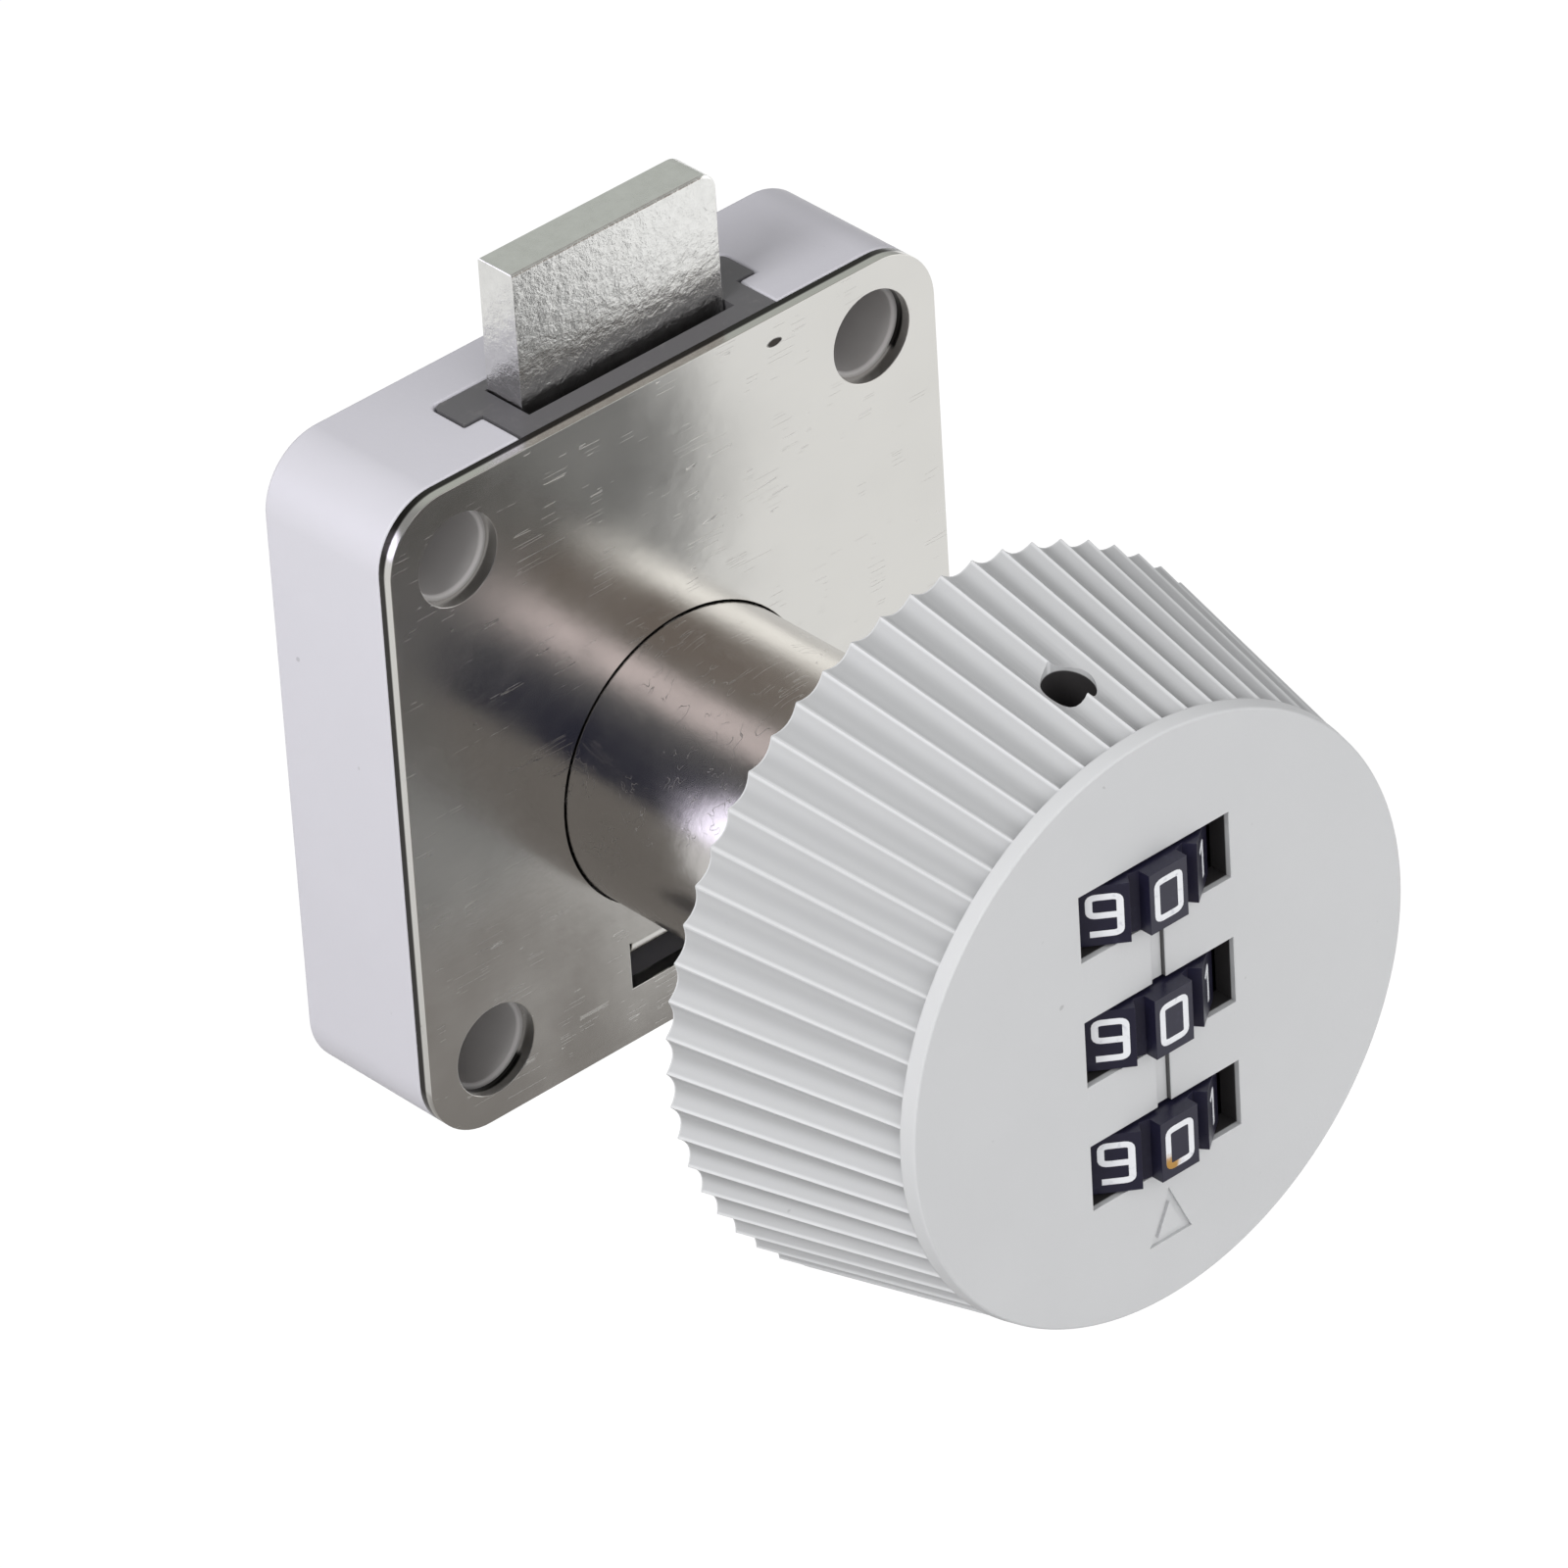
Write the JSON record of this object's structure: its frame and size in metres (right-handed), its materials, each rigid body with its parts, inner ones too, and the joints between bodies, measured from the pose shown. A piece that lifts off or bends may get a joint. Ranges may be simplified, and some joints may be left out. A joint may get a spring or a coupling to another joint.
{
  "type": "cam combination lock",
  "caption": "Drawer lock with a ribbed round knob that holds code dials; turning the knob draws a flat bolt into a square case.",
  "frame": {"origin": "on the barrel's axis, at the front face of the cover plate, where the panel that carries the lock bears", "axes": "-Y points out of the panel towards the knob, +Z is the way the bolt comes out, +X is to the right seen from the front"},
  "size_m": [0.0428, 0.0489, 0.0544],
  "materials": {
    "knob_grey": "fine satin",
    "case_grey": "satin",
    "satin_nickel": "satin",
    "guide_dark": "satin",
    "bolt_plated": "bright, slightly uneven",
    "dial_black": "satin with white numbers",
    "sleeve_brass": "turned",
    "frame_zinc": "as cast",
    "inner_steel": "plain",
    "spring_steel": "plain"
  },
  "bodies": {
    "lock_case": {"case": "case_grey", "cover_plate": "satin_nickel", "barrel": "satin_nickel", "bolt_guide": "guide_dark"},
    "knob": {"knob_shell": "knob_grey", "knob_back_cover": "knob_grey", "dial_frame": "frame_zinc", "detent_comb": "spring_steel", "lock_bar_springs": "spring_steel", "reset_spring": "spring_steel", "spindle": "inner_steel", "drive_cam": "inner_steel"},
    "bolt": {"bolt": "bolt_plated"},
    "lock_bar": {"lock_bar": "inner_steel"},
    "reset_shaft": {"dial_shaft": "inner_steel", "shaft_clip": "spring_steel"},
    "dial_top": {"dial_wheel_top": "dial_black"},
    "sleeve_top": {"code_sleeve_top": "sleeve_brass"},
    "dial_middle": {"dial_wheel_middle": "dial_black"},
    "sleeve_middle": {"code_sleeve_middle": "sleeve_brass"},
    "dial_bottom": {"dial_wheel_bottom": "dial_black"},
    "sleeve_bottom": {"code_sleeve_bottom": "sleeve_brass"}
  },
  "joints": [
    {"name": "knob_turn", "type": "hinge", "parent": "lock_case", "child": "knob", "pos_m": [0, 0, 0], "axis": [0, 1, 0], "range_deg": [0, 90]},
    {"name": "bolt_slide", "type": "slide", "parent": "lock_case", "child": "bolt", "axis": [0, 0, 1], "range_m": [-0.0083, 0]},
    {"name": "lock_bar_slide", "type": "slide", "parent": "knob", "child": "lock_bar", "axis": [0, 1, 0], "range_m": [0, 0.001]},
    {"name": "reset_press", "type": "slide", "parent": "knob", "child": "reset_shaft", "axis": [0, 0, -1], "range_m": [0, 0.0014], "stiffness_N_per_m": 400, "springref_m": -0.001, "deforming": ["reset_spring"]},
    {"name": "dial_turn_top", "type": "hinge", "parent": "knob", "child": "dial_top", "pos_m": [0, -0.0324, 0], "axis": [0, 0, 1], "continuous": true},
    {"name": "sleeve_turn_top", "type": "hinge", "parent": "reset_shaft", "child": "sleeve_top", "pos_m": [0, -0.0324, 0], "axis": [0, 0, 1], "continuous": true},
    {"name": "dial_turn_middle", "type": "hinge", "parent": "knob", "child": "dial_middle", "pos_m": [0, -0.0324, 0], "axis": [0, 0, 1], "continuous": true},
    {"name": "sleeve_turn_middle", "type": "hinge", "parent": "reset_shaft", "child": "sleeve_middle", "pos_m": [0, -0.0324, 0], "axis": [0, 0, 1], "continuous": true},
    {"name": "dial_turn_bottom", "type": "hinge", "parent": "knob", "child": "dial_bottom", "pos_m": [0, -0.0324, 0], "axis": [0, 0, 1], "continuous": true},
    {"name": "sleeve_turn_bottom", "type": "hinge", "parent": "reset_shaft", "child": "sleeve_bottom", "pos_m": [0, -0.0324, 0], "axis": [0, 0, 1], "continuous": true}
  ],
  "couplings": [
    {"joint": "bolt_slide", "follows": "knob_turn", "m_per_rad": -0.005283},
    {"joint": "sleeve_turn_top", "follows": "dial_turn_top", "ratio": 1},
    {"joint": "sleeve_turn_middle", "follows": "dial_turn_middle", "ratio": 1},
    {"joint": "sleeve_turn_bottom", "follows": "dial_turn_bottom", "ratio": 1}
  ]
}
